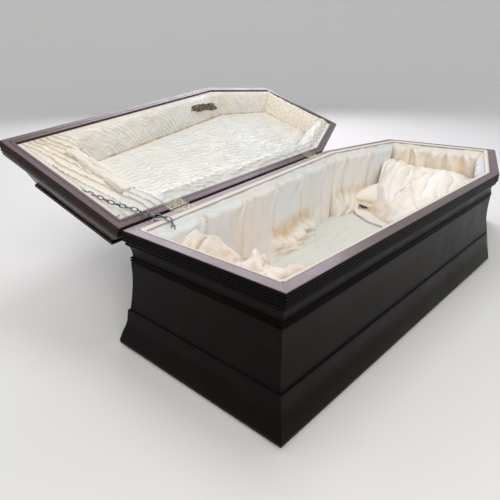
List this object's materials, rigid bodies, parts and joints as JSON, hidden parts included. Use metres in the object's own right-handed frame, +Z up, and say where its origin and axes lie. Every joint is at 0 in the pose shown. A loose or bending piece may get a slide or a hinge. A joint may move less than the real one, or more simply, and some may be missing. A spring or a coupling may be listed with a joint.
{
  "type": "hinged coffin",
  "caption": "Hexagonal dark wooden coffin with a moulded case, tufted satin lining and a padded lid hinged on one long side, held open by a chain.",
  "frame": {"origin": "middle of the underside of the case", "axes": "+X along the coffin towards the head end, +Y towards the hinged long side, +Z up"},
  "size_m": [2.1207, 1.5919, 0.7128],
  "materials": {
    "case_wood": "dark stained mahogany under a glossy varnish",
    "lid_wood": "dark stained mahogany under a glossy varnish",
    "lining_satin": "tufted ivory satin",
    "quilt_satin": "quilted ivory satin over wadding",
    "cover_satin": "crumpled ivory satin",
    "mattress_cloth": "smooth ivory cloth",
    "hinge_metal": "tarnished pressed brass with a raised leaf pattern",
    "chain_steel": "dull plated steel"
  },
  "bodies": {
    "case": {"case_front_side": "case_wood", "case_front_shoulder": "case_wood", "case_head_end": "case_wood", "case_hinge_shoulder": "case_wood", "case_hinge_side": "case_wood", "case_foot_end": "case_wood", "case_bottom": "case_wood", "case_lining_front_side": "lining_satin", "case_lining_front_shoulder": "lining_satin", "case_lining_head_end": "lining_satin", "case_lining_hinge_shoulder": "lining_satin", "case_lining_hinge_side": "lining_satin", "case_lining_foot_end": "lining_satin", "mattress": "mattress_cloth", "pillow": "cover_satin", "head_cover": "cover_satin", "foot_cover": "cover_satin", "case_hinge_leaf_foot": "hinge_metal", "case_hinge_leaf_shoulder": "hinge_metal", "case_chain_plate": "chain_steel", "stay_chain": "chain_steel"},
    "lid": {"lid_front_side": "lid_wood", "lid_front_shoulder": "lid_wood", "lid_head_end": "lid_wood", "lid_hinge_shoulder": "lid_wood", "lid_hinge_side": "lid_wood", "lid_foot_end": "lid_wood", "lid_crown": "lid_wood", "lid_pad_front_side": "quilt_satin", "lid_pad_front_shoulder": "quilt_satin", "lid_pad_head_end": "quilt_satin", "lid_pad_hinge_shoulder": "quilt_satin", "lid_pad_hinge_side": "quilt_satin", "lid_pad_foot_end": "quilt_satin", "lid_crown_quilt": "quilt_satin", "lid_foot_gathers": "quilt_satin", "lid_hinge_leaf_foot": "hinge_metal", "lid_hinge_leaf_shoulder": "hinge_metal", "lid_chain_plate": "chain_steel"}
  },
  "joints": [
    {"name": "lid_hinge", "type": "hinge", "parent": "case", "child": "lid", "pos_m": [-1.00036, 0.28929, 0.401], "axis": [0.9965, 0.0836, 0], "range_deg": [0, 157.2], "deforming": ["stay_chain"]}
  ]
}
